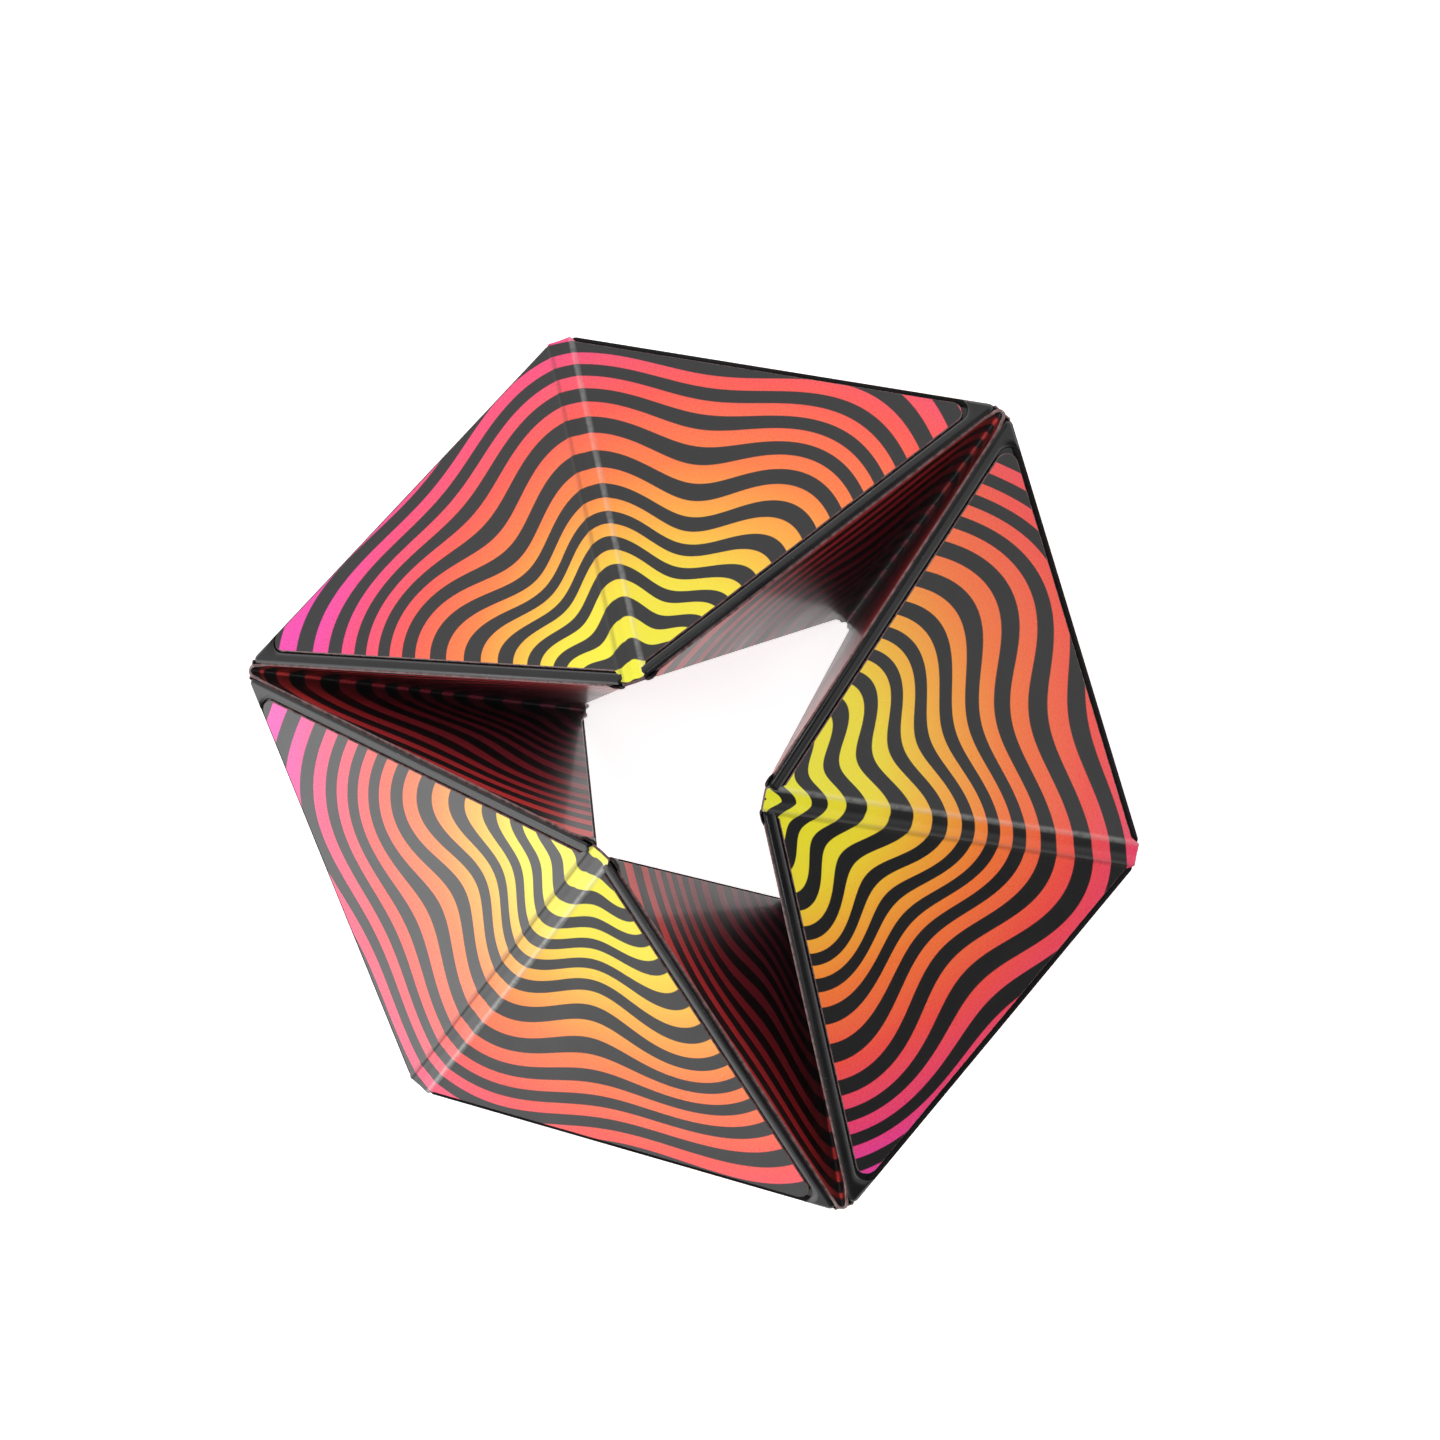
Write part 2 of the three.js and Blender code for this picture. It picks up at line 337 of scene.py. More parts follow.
def ridge_side_space():
    """The space round the ridge edge, out to the seams through the centre and the free edges."""
    seam_normal = RIDGE_LOW.cross(VALLEY_HIGH).normalized()
    shift = Vector((-SEAM_GAP / 2 / abs(seam_normal.x), 0, 0))
    low, high, front, back = [corner * PAST_CORNER + shift for corner in CORNERS]
    verts = [shift, low, high, front, back]
    faces = [(0, 2, 3), (0, 3, 1), (1, 3, 2), (0, 1, 4), (0, 4, 2), (1, 2, 4)]
    return outward_normals(new_object("ridge_side_space", verts, faces))


def turned_copy(obj, matrix):
    """A copy of an object, with its mesh moved by a matrix."""
    copy = obj.copy()
    copy.data = obj.data.copy()
    copy.data.transform(matrix)
    bpy.context.scene.collection.objects.link(copy)
    return copy


def shell_half(first_rims, second_rims):
    """The moulded half round the ridge edge, with the rims that each of its two faces has.

    The valley half is built in the same place, and then turned onto the valley edge."""
    body = rounded_wedge()
    hollow = hull("hollow", [inset(corner, WALL_DEPTH) for corner in CORNERS])
    combine(body, hollow, "DIFFERENCE")
    combine(body, bed_cutter(*first_rims), "DIFFERENCE")
    second = bed_cutter(*second_rims)
    second.data.transform(FLIP_Z)
    second.data.flip_normals()
    combine(body, second, "DIFFERENCE")
    combine(body, ridge_side_space(), "INTERSECT")
    pocket = magnet_pocket()
    twin = turned_copy(pocket, HALF_TURN)
    combine(body, pocket, "UNION")
    combine(body, twin, "UNION")
    work = bmesh.new()
    work.from_mesh(body.data)
    bmesh.ops.remove_doubles(work, verts=work.verts, dist=WELD)
    bmesh.ops.dissolve_degenerate(work, edges=work.edges, dist=WELD)
    work.to_mesh(body.data)
    work.free()
    return body


# Which free edge of each face has the half-round rim: at the peak end, at the root end. The
# peak end is +y of the face's hinge edge, and each free edge of a wedge has one rim.
RIMS = {"top": (True, False), "under": (True, False), "gap": (False, False), "side": (True, True)}


def place_shells(material):
    ridge_half = shell_half(RIMS["top"], RIMS["under"])
    valley_half = shell_half(RIMS["gap"], RIMS["side"])
    valley_half.data.transform(ONTO_VALLEY_HALF)
    for number in range(1, 7):
        centre, along, inner, outer = wedge_axes(number)
        columns = Matrix((along, inner, outer)).transposed().to_4x4()
        placing = Matrix.Scale(MM, 4) @ Matrix.Translation(centre) @ columns
        for part, half in (("upper", ridge_half), ("lower", valley_half)):
            name = f"wedge_{number}_shell_{part}"
            piece = turned_copy(half, placing)
            piece.name = name + "_moulding"
            piece.data.name = piece.name
            if placing.determinant() < 0:
                piece.data.flip_normals()
            piece.data.shade_smooth()
            piece.data.set_sharp_from_angle(angle=math.radians(SHELL_SHARP_ANGLE))
            piece.data.materials.clear()
            piece.data.materials.append(material)
            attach(piece, f"wedge_{number}")
            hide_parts(name)
    bpy.data.objects.remove(ridge_half)
    bpy.data.objects.remove(valley_half)


# ---- Film sheets across the hinges ----------------------------------------------------------
def bezier(points, t):
    """The point at t, from 0 to 1, of the Bezier curve with these control points."""
    work = [Vector(p) for p in points]
    while len(work) > 1:
        work = [a.lerp(b, t) for a, b in zip(work, work[1:])]
    return work[0]


# A sheet's fold, and how far it reaches at either end of the hinge. flat_from: distance from the
# hinge line where the flat panel begins. apex: height of a hollow fold's outer side over the hinge
# line. tab_reach, tab_half: how near the sheet comes to the hinge's ends, and how far from the
# hinge line it stays so. zone: where the bending starts, from the hinge line.
FOLDS = {
    "top": SimpleNamespace(convex=True, flat_from=2.6, tab_reach=1.45, tab_half=1.2, zone=1.7),
    "side": SimpleNamespace(convex=True, flat_from=2.6, tab_reach=1.45, tab_half=1.2, zone=1.7),
    "under": SimpleNamespace(
        convex=False, flat_from=4.6, apex=1.4, tab_reach=2.4, tab_half=1.0, zone=0.5
    ),
    "gap": SimpleNamespace(
        convex=False, flat_from=3.6, apex=1.35, tab_reach=1.2, tab_half=0.9, zone=0.5
    ),
}


def ridge_section(along, normal, up):
    """Point of a convex sheet's section: a flat strip between two raised creases."""
    corner = along * FOLD_LINE - normal * FILM_DEPTH
    near, far = FOLD_LINE - FOLD_SPREAD, FOLD_LINE + FOLD_SPREAD
    strip = Vector((corner.x * min(up, near) / FOLD_LINE, corner.y))
    panel = along * max(up, far) - normal * FILM_DEPTH
    if up <= near:
        base = strip
    elif up >= far:
        base = panel
    else:
        base = bezier((strip, corner, panel), (up - near) / (far - near))
    lip = FOLD_LIP * math.exp(-(((up - FOLD_LINE) / FOLD_LIP_WIDTH) ** 2))
    sag = FOLD_SAG * math.exp(-((up / FOLD_SAG_WIDTH) ** 2))
    return base + Vector((0, 1)).lerp(normal, 0.5).normalized() * (lip - sag)


def convex_section(fold, along, normal):
    """Distances from the hinge line and points of a convex sheet's section."""
    distances = [fold.flat_from * i / CREASED_STEPS for i in range(CREASED_STEPS + 1)]
    return distances, [ridge_section(along, normal, up) for up in distances]


def hollow_section(fold, along, normal):
    """The same for a hollow sheet: a narrow round bottom, and a side that leans onto the panel."""
    flat = along * fold.flat_from - normal * FILM_DEPTH
    middle = Vector((0, fold.apex))
    turn = middle + Vector((HOLLOW_TURN, 0))
    rise = middle + Vector(HOLLOW_RISE)
    lean = rise.lerp(flat, HOLLOW_LEAN)
    control = (middle, turn, rise, lean, flat - along * HOLLOW_RUN, flat)
    shares = [(i / HOLLOW_STEPS) ** HOLLOW_CROWDING for i in range(HOLLOW_STEPS + 1)]
    points = [bezier(control, share) for share in shares]
    lengths = [0.0]
    for a, b in zip(points, points[1:]):
        lengths.append(lengths[-1] + (b - a).length)
    return [fold.flat_from * length / lengths[-1] for length in lengths], points


def fold_profile(fold, along, normal):
    """Section across the hinge, from the middle plane out to where the panel is flat.

    Returns (distance, point, normal) rows in the plane square to the hinge edge."""
    section_of = convex_section if fold.convex else hollow_section
    distances, points = section_of(fold, along, normal)
    rows = [(0.0, points[0], Vector((0, 1)))]
    for i in range(1, len(points)):
        if i == len(points) - 1:
            direction = along
        else:
            direction = (points[i + 1] - points[i - 1]).normalized()
        across = Vector((-direction.y, direction.x))
        if across.dot(rows[-1][2]) < 0:
            across = -across
        rows.append((distances[i], points[i], across))
    return rows


def on_profile(fold, profile, along, normal, up):
    """Point and normal of a sheet's outer side at a distance from the hinge line."""
    if up >= fold.flat_from:
        return along * up - normal * FILM_DEPTH, normal
    for a, b in zip(profile, profile[1:]):
        if up <= b[0] + 1e-9:
            share = (up - a[0]) / (b[0] - a[0])
            return a[1].lerp(b[1], share), a[2].lerp(b[2], share).normalized()
    return profile[-1][1], profile[-1][2]


def ends_at(fold, up, offset, reach_extra):
    """How far the film reaches along the hinge edge at a distance from it, on one side."""
    line = side_line(offset + reach_extra, up)
    tab = HALF - fold.tab_reach - reach_extra
    if line >= tab:
        return tab
    fade = min(max((up - fold.tab_half) / TAB_FADE, 0), 1)
    fade = fade * fade * (3 - 2 * fade)
    return tab + (line - tab) * fade


def outline_rows(fold, sides, extra, first):
    """Pairs of ends (distance, y) at -y and +y, from the hinge to the far corner."""
    rows = []
    peak, root = sides
    for up in first:
        rows.append(((up, -ends_at(fold, up, root, extra)), (up, ends_at(fold, up, peak, extra))))
    radius = FILM_CORNER - extra
    steps = FILM_CORNER_STEPS
    arc = corner_arc(peak + extra, root + extra, radius, steps)
    for i in range(steps // 2):
        right, left = arc[i], arc[steps - i]
        rows.append(((left[1], left[0]), (right[1], right[0])))
    top = arc[steps // 2]
    rows.append(((top[1], top[0] - LAST_ROW_HALF), (top[1], top[0] + LAST_ROW_HALF)))
    return rows


def face_directions(kind, number, hinge):
    """Directions of a wedge's face: up from the hinge, and out of the face."""
    centre, along, inner, outer = wedge_axes(number)
    slopes = {
        "top": along * LINK + outer * HALF,
        "under": along * LINK - outer * HALF,
        "gap": -along * LINK + inner * HALF,
        "side": -along * LINK - inner * HALF,
    }
    face_up = slopes[kind].normalized()
    face_out = hinge[1].cross(face_up).normalized()
    if face_out.dot(hinge[0] - centre) < 0:
        face_out = -face_out
    return face_up, face_out


def half_sheet(kind, number, hinge, sideways, outward, gap):
    """The half of a sheet that lies on one wedge: vertices, print places and three layers.

    A layer is rows of vertex numbers. The layers are the skin, its bevelled shoulder and the
    back. A print place is a distance from the hinge line and one along it from the peak."""
    middle, hinge_along = hinge
    fold = FOLDS[kind]
    face_up, face_out = face_directions(kind, number, hinge)
    along = Vector((face_up.dot(sideways), face_up.dot(outward)))
    normal = Vector((face_out.dot(sideways), face_out.dot(outward)))
    profile = fold_profile(fold, along, normal)
    bare = TOP_BARE_SIDE[number] if kind == "top" else FILM_BARE_SIDE
    sides = [FILM_RIM_SIDE if rim else bare for rim in RIMS[kind]]
    stations = [row[0] for row in profile]
    stations += [fold.flat_from + step for step in FLAT_ROWS if fold.flat_from + step < LAST_ROW]
    verts, places, layers = [], [], []
    for extra, depth in ((FILM_BEVEL, 0.0), (0.0, FILM_BEVEL), (0.0, FILM_THICKNESS)):
        grid = []
        for (up_l, y_l), (up_r, y_r) in outline_rows(fold, sides, extra, stations):
            grid.append(range(len(verts), len(verts) + COLUMNS + 1))
            for column in range(COLUMNS + 1):
                share = column / COLUMNS
                up = up_l + (up_r - up_l) * share
                y = y_l + (y_r - y_l) * share
                point, out = on_profile(fold, profile, along, normal, up)
                point = point - out * depth
                x = point.x + gap if up < 1e-6 else point.x
                verts.append(middle + hinge_along * y + sideways * x + outward * point.y)
                from_peak = HALF - y if kind in ("top", "side") else HALF + y
                places.append((up / HINGE, from_peak / HINGE))
        layers.append(grid)
    return verts, places, layers


def border(grid, closed):
    """Vertex numbers round a grid: up the +y side, over the far end and down the -y side."""
    loop = [row[-1] for row in grid]
    loop += list(reversed(grid[-1]))[1:-1]
    loop += [row[0] for row in reversed(grid)]
    if closed:
        loop += grid[0][1:-1]
    return loop


def sheet_directions(kind, pair):
    """Across a hinge towards the pair's first wedge, and outwards on this sheet's side."""
    along = hinges[pair][1]
    first, second = [wedge_axes(number)[0] for number in pair]
    across = (first - second).normalized()
    across = (across - along * across.dot(along)).normalized()
    outward = along.cross(across).normalized()
    upward = 1 if kind in ("top", "gap") else -1
    return across, outward if outward.z * upward >= 0 else -outward


def layer_faces(layers, closed):
    """Faces of a half sheet's skin and back, and those of its edges."""
    skin, shoulder, back = layers
    faces, edge_faces = [], []
    for grid, inner in ((skin, False), (back, True)):
        for row, following in zip(grid, grid[1:]):
            for c in range(COLUMNS):
                quad = (row[c], row[c + 1], following[c + 1], following[c])
                faces.append(quad if inner else tuple(reversed(quad)))
    loops = [border(grid, closed) for grid in (skin, shoulder, back)]
    for a, b in zip(loops, loops[1:]):
        for i in range(len(a) if closed else len(a) - 1):
            j = (i + 1) % len(a)
            edge_faces.append((a[i], a[j], b[j], b[i]))
    return faces, edge_faces


def sheet_mesh(name, kind, pair, numbers, gap):
    """A film sheet on these wedges of a pair. A sheet on one wedge is closed along the fold."""
    across, outward = sheet_directions(kind, pair)
    verts, places, faces, edge_faces = [], [], [], []
    for number in numbers:
        sign = 1 if number == pair[0] else -1
        half_verts, half_places, layers = half_sheet(
            kind, number, hinges[pair], across * sign, outward, gap
        )
        start = len(verts)
        verts += half_verts
        places += [(sign * x, y) for x, y in half_places]
        layers = [[[i + start for i in row] for row in grid] for grid in layers]
        half_faces, half_edges = layer_faces(layers, gap > 0)
        faces += half_faces
        edge_faces += half_edges
    obj = new_object(name, [v * MM for v in verts], faces + edge_faces)
    attribute = obj.data.attributes.new("print_place", "FLOAT_VECTOR", "POINT")
    for i, (x, y) in enumerate(places):
        attribute.data[i].vector = (x, y, 0.0)
    for polygon in obj.data.polygons:
        polygon.material_index = 1 if polygon.index >= len(faces) else 0
    work = bmesh.new()
    work.from_mesh(obj.data)
    bmesh.ops.remove_doubles(work, verts=work.verts, dist=WELD * MM)
    bmesh.ops.recalc_face_normals(work, faces=work.faces)
    work.to_mesh(obj.data)
    work.free()
    obj.data.shade_smooth()
    obj.data.set_sharp_from_angle(angle=math.radians(FILM_SHARP_ANGLE))
    return obj


RIDGE_PAIRS = ((1, 2), (3, 4), (5, 6))
VALLEY_PAIRS = ((6, 1), (4, 5), (2, 3))
SHEET_PAIRS = {
    "top": RIDGE_PAIRS,
    "under": RIDGE_PAIRS,
    "gap": VALLEY_PAIRS,
    "side": VALLEY_PAIRS,
}
OPEN_PIVOT = (2, 3)  # no joint, so its sheets are split along the fold
SPLIT_GAP = 0.02


def place_sheet(kind, pair, group, material, edge_material):
    """One sheet over both wedges of a hinge, or at the open pivot over one of them."""
    label = "_".join(str(n) for n in group)
    gap = SPLIT_GAP if len(group) == 1 else 0.0
    piece = sheet_mesh(f"film_{kind}_{label}", kind, pair, group, gap)
    piece.data.materials.append(material)
    piece.data.materials.append(edge_material)
    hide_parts(*[f"wedge_{n}_film_{kind}" for n in group])
    if len(group) == 1:
        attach(piece, f"wedge_{group[0]}")
        return
    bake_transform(piece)


def place_sheets(materials, edge_material):
    for kind, pairs in SHEET_PAIRS.items():
        for pair in pairs:
            groups = [(pair[0],), (pair[1],)] if pair == OPEN_PIVOT else [pair]
            for group in groups:
                place_sheet(kind, pair, group, materials[(kind, pair)], edge_material)


# ---- Materials ------------------------------------------------------------------------------
def new_material(name):
    material = bpy.data.materials.new(name)
    material.use_nodes = True
    tree = material.node_tree
    shader = tree.nodes["Principled BSDF"]
    return material, tree, shader


def node(tree, kind, inputs=None, **settings):
    made = tree.nodes.new(kind)
    for key, value in settings.items():
        setattr(made, key, value)
    for key, value in (inputs or {}).items():
        if isinstance(value, bpy.types.NodeSocket):
            tree.links.new(value, made.inputs[key])
        else:
            made.inputs[key].default_value = value
    return made


def calc(tree, operation, a, b=0.0, c=0.0):
    return node(tree, "ShaderNodeMath", {0: a, 1: b, 2: c}, operation=operation).outputs[0]


def remap(tree, value, low, high, to_low=0.0, to_high=1.0):
    inputs = {"Value": value, 1: low, 2: high, 3: to_low, 4: to_high}
    made = node(tree, "ShaderNodeMapRange", inputs, clamp=True)
    return made.outputs["Result"]


def print_place(tree):
    """Place on a film sheet: distance from the hinge line, and along it from the peak."""
    return node(tree, "ShaderNodeAttribute", attribute_name="print_place").outputs["Vector"]


def object_place(tree):
    return node(tree, "ShaderNodeTexCoord").outputs["Object"]


def noise(tree, place, scale, detail=2.0, roughness=0.5):
    inputs = {"Vector": place, "Scale": scale, "Detail": detail, "Roughness": roughness}
    return node(tree, "ShaderNodeTexNoise", inputs).outputs["Fac"]


def blend_colours(tree, share, a, b):
    made = node(tree, "ShaderNodeMix", data_type="RGBA")
    for socket, value in ((0, share), (6, a), (7, b)):
        if isinstance(value, bpy.types.NodeSocket):
            tree.links.new(value, made.inputs[socket])
        else:
            made.inputs[socket].default_value = value
    return made.outputs[2]


def bump(tree, height, distance, strength=1.0, normal=None):
    inputs = {"Height": height, "Distance": distance, "Strength": strength}
    if normal is not None:
        inputs["Normal"] = normal
    return node(tree, "ShaderNodeBump", inputs).outputs["Normal"]


def linear(red, green, blue):
    """A display colour of 0-255 as a linear one."""
    values = []
    for value in (red, green, blue):
        share = value / 255
        values.append(share / 12.92 if share <= 0.04045 else ((share + 0.055) / 1.055) ** 2.4)
    return (*values, 1.0)


# Colours of the stripes by distance from the peak they start from, in hinge edges
BRIGHT_STOPS = (
    (0.00, (232, 232, 20)),
    (0.28, (240, 218, 26)),
    (0.43, (246, 168, 34)),
    (0.58, (248, 116, 34)),
    (0.78, (246, 70, 56)),
    (0.97, (238, 48, 108)),
    (1.12, (232, 44, 160)),
)
# The deep stops run dark at the start of the ramp, which on the gap sheets is the inner end, deep
# in the gap: partly a printed gradient, partly painted shade.
DEEP_STOPS = (
    (0.00, (84, 10, 42)),
    (0.30, (116, 12, 44)),
    (0.60, (152, 16, 42)),
    (0.85, (200, 34, 40)),
    (1.10, (232, 60, 44)),
)
RAMP_END = 1.2
SWAY_COUNT = 6.9  # crests per turn round the peak that the stripes start from
SWELL_PERIOD = 0.5
SWELL_TURN = 2.2
STRIPE_EDGE = 0.07  # softness of a stripe's edge, as a share of the wave's height
END_EDGE = 0.004
FOLD_SHARE = FOLD_LINE / HINGE  # distance of a crease from the hinge line, in hinge edges
WHITE = (1.0, 1.0, 1.0, 1.0)
CHARCOAL = (0.010, 0.010, 0.011, 1)
PALE_CHARCOAL = (0.016, 0.015, 0.015, 1)
# Pale band on a crease: partly stress-whitened film, partly painted highlight. Dark line on the
# other crease: painted shadow.
CREASE_WHITENING_AND_HIGHLIGHT = (0.62, 0.62, 0.60, 1)
CREASE_PAINTED_SHADOW = (0.020, 0.016, 0.012, 1)


def wave_print(stops, **changes):
    """The numbers of one printed wave pattern: all lengths are shares of a hinge edge."""
    look = SimpleNamespace(
        stops=stops,
        pitch=13.0,  # stripes per hinge edge
        sway=0.5,  # height of the waves that run round the peak, in stripes
        swell=0.25,  # height of the slow wave that runs outwards, in stripes
        lean=0.0,  # phase of both waves
        flow=0.0,  # how the waves drift sideways on their way outwards
        tilt=0.0,  # how much further the colours have run on the pair's first wedge
        gain=1.0,  # how fast the colours change away from the peak
        offset=0.0,  # shift of all stripes, in stripes
        duty=0.0,  # above 0 the coloured stripes are narrower than the dark ones
        wear=0.2,  # strength of the pale band, partly stress-whitening and partly painted highlight, and of the painted shadow line along the two creases
        light_side=1,  # 1 if the pale band with its painted highlight is on the pair's first wedge, else -1; the painted shadow line is on the other
        fold_shade=0.0,  # painted shade: how far the print darkens beside a hollow fold, where the fold lies in shade
        ends=(-1.0, 2.0),  # the stripes stop at these places along the hinge edge
        rough=0.24,
    )
    for name, value in changes.items():
        setattr(look, name, value)
    return look


def stripe_mask(tree, radius, x, y, look):
    """1 on a coloured stripe and 0 between: rings round the peak, swayed by sine waves."""
    angle = calc(tree, "ARCTAN2", x, y)
    grown = remap(tree, radius, 0.02, 0.42)
    phase = calc(tree, "MULTIPLY_ADD", angle, SWAY_COUNT, look.lean)
    phase = calc(tree, "MULTIPLY_ADD", radius, look.flow, phase)
    sway = calc(tree, "MULTIPLY", calc(tree, "COSINE", phase), grown)
    rings = calc(tree, "MULTIPLY_ADD", radius, look.pitch, look.offset)
    rings = calc(tree, "MULTIPLY_ADD", sway, -look.sway, rings)
    slow = calc(tree, "MULTIPLY_ADD", radius, 2 * math.pi / SWELL_PERIOD, look.lean * 2)
    slow = calc(tree, "MULTIPLY_ADD", calc(tree, "ABSOLUTE", angle), SWELL_TURN, slow)
    rings = calc(tree, "MULTIPLY_ADD", calc(tree, "SINE", slow), look.swell, rings)
    wave = calc(tree, "COSINE", calc(tree, "MULTIPLY", rings, 2 * math.pi))
    mask = remap(tree, wave, look.duty - STRIPE_EDGE, look.duty + STRIPE_EDGE)
    low, high = look.ends
    after_low = remap(tree, y, low - END_EDGE, low + END_EDGE)
    before_high = remap(tree, y, high - END_EDGE, high + END_EDGE, 1.0, 0.0)
    inside = calc(tree, "MULTIPLY", after_low, before_high)
    return calc(tree, "MULTIPLY", mask, inside)


def ink_ramp(tree, radius, x, look):
    """Colour of the stripes: it changes away from the peak, and a little from wedge to wedge."""
    hue = calc(tree, "MULTIPLY_ADD", x, look.tilt, calc(tree, "MULTIPLY", radius, look.gain))
    ramp = node(tree, "ShaderNodeValToRGB", {0: calc(tree, "DIVIDE", hue, RAMP_END)})
    elements = ramp.color_ramp.elements
    while len(elements) < len(look.stops):
        elements.new(0.5)
    for element, (position, colour) in zip(elements, look.stops):
        element.position = position / RAMP_END
        element.color = linear(*colour)
    return ramp.outputs[0]


def printed_colour(tree, place, x, y, look):
    """Stripes of ink on a dark ground, with painted shade beside a hollow fold and none on its
    line.
    """
    square = calc(tree, "ADD", calc(tree, "MULTIPLY", x, x), calc(tree, "MULTIPLY", y, y))
    radius = calc(tree, "SQRT", square)
    mask = stripe_mask(tree, radius, x, y, look)
    grain = noise(tree, place, 220.0, 1.0)
    pale_grain = remap(tree, grain, 0.3, 0.7, 0.0, 0.05)
    ink = blend_colours(tree, pale_grain, ink_ramp(tree, radius, x, look), WHITE)
    dark_grain = remap(tree, grain, 0.3, 0.7)
    dark = blend_colours(tree, dark_grain, CHARCOAL, PALE_CHARCOAL)
    from_middle = calc(tree, "ABSOLUTE", x)
    fold_line = remap(tree, from_middle, 0.006, 0.009, 1.0, 0.0)
    # Painted shade: beside a hollow fold the ink darkens towards the dark ground, as if shaded in
    # the fold; on the fold line itself it stays clear.
    ink_kept_under_painted_shade = remap(tree, from_middle, 0.02, 0.13, 1.0 - look.fold_shade, 1.0)
    ink = blend_colours(tree, calc(tree, "MAXIMUM", fold_line, ink_kept_under_painted_shade), dark, ink)
    return blend_colours(tree, mask, dark, ink)


def worn_creases(tree, place, x, colour, look):
    """A pale, broken band on one crease, partly stress-whitened film and partly painted highlight,
    and a painted shadow line on the other.
    """
    broken = remap(tree, noise(tree, place, 45.0, 4.0, 0.7), 0.30, 0.66, 0.35, 1.0)
    light_side = calc(tree, "MULTIPLY", x, look.light_side)
    # Partly stress-whitening, partly painted highlight: a pale, broken band on one crease.
    whitening_and_highlight = calc(tree, "ABSOLUTE", calc(tree, "SUBTRACT", light_side, FOLD_SHARE))
    whitening_and_highlight = remap(tree, whitening_and_highlight, 0.003, 0.0095, look.wear, 0.0)
    whitening_and_highlight = calc(tree, "MULTIPLY", whitening_and_highlight, broken)
    colour = blend_colours(tree, whitening_and_highlight, colour, CREASE_WHITENING_AND_HIGHLIGHT)
    # Painted shadow: a dark line along the other crease.
    painted_shadow_line = calc(tree, "ABSOLUTE", calc(tree, "ADD", light_side, FOLD_SHARE))
    painted_shadow_line = remap(tree, painted_shadow_line, 0.003, 0.010, look.wear * 1.2, 0.0)
    return blend_colours(tree, painted_shadow_line, colour, CREASE_PAINTED_SHADOW)


def film_material(name, look):
    """Printed film under a clear laminate, slightly slack, with handled gloss; its creases carry
    stress-whitening, painted highlight and painted shadow, and a hollow fold has painted shade
    beside it.
    """
    material, tree, shader = new_material(name)
    place = print_place(tree)
    split = node(tree, "ShaderNodeSeparateXYZ", {0: place})
    x, y = split.outputs[0], split.outputs[1]
    colour = printed_colour(tree, place, x, y, look)
    colour = worn_creases(tree, place, x, colour, look)
    tree.links.new(colour, shader.inputs["Base Color"])
    smudge = noise(tree, place, 5.0, 4.0, 0.6)
    rough = remap(tree, smudge, 0.3, 0.7, look.rough, look.rough + 0.12)
    tree.links.new(rough, shader.inputs["Roughness"])
    shader.inputs["Coat Weight"].default_value = 0.25
    shader.inputs["Coat Roughness"].default_value = 0.12
    slack = noise(tree, place, 6.0, 1.0)
    tree.links.new(bump(tree, slack, 0.0004, 0.35), shader.inputs["Normal"])
    return material


def film_edge_material():
    """The cut edge of the clear laminate, which shows as a pale thread."""
    material, tree, shader = new_material("film_cut_edge")
    place = print_place(tree)
    share = remap(tree, noise(tree, place, 60.0, 3.0), 0.3, 0.7)
    colour = blend_colours(tree, share, (0.09, 0.05, 0.05, 1), (0.24, 0.14, 0.14, 1))
    tree.links.new(colour, shader.inputs["Base Color"])
    tree.links.new(remap(tree, share, 0.0, 1.0, 0.2, 0.35), shader.inputs["Roughness"])
    return material


def shell_material():
    """Black moulded plastic: near-gloss, with faint moulding waves, handling haze and dust."""
    material, tree, shader = new_material("moulded_black_plastic")
    place = object_place(tree)
    haze = noise(tree, place, 90.0, 4.0, 0.6)
    hazy = remap(tree, haze, 0.35, 0.7)
    colour = blend_colours(tree, hazy, (0.006, 0.006, 0.007, 1), (0.013, 0.013, 0.014, 1))
    specks = remap(tree, noise(tree, place, 1500.0, 2.0, 0.6), 0.72, 0.8)
    dust = calc(tree, "MULTIPLY", specks, 0.25)
    colour = blend_colours(tree, dust, colour, (0.35, 0.34, 0.33, 1))
    tree.links.new(colour, shader.inputs["Base Color"])
    tree.links.new(remap(tree, haze, 0.3, 0.7, 0.17, 0.28), shader.inputs["Roughness"])
    waves = bump(tree, noise(tree, place, 240.0, 2.0), 0.00003, 0.5)
    grain = bump(tree, noise(tree, place, 3200.0, 2.0), 0.000006, 0.5, waves)
    tree.links.new(grain, shader.inputs["Normal"])
    return material


def magnet_material():
    """Nickel plate with faint tarnish and a fine grain."""
    material, tree, shader = new_material("nickel_plate")
    place = object_place(tree)
    cloud = noise(tree, place, 300.0, 4.0, 0.6)
    cloudy = remap(tree, cloud, 0.3, 0.7)
    colour = blend_colours(tree, cloudy, (0.55, 0.54, 0.52, 1), (0.70, 0.69, 0.66, 1))
    tree.links.new(colour, shader.inputs["Base Color"])
    shader.inputs["Metallic"].default_value = 1.0
    tree.links.new(remap(tree, cloud, 0.3, 0.7, 0.18, 0.34), shader.inputs["Roughness"])
    normal = bump(tree, noise(tree, place, 2500.0, 2.0), 0.000005, 0.5)
    tree.links.new(normal, shader.inputs["Normal"])
    return material


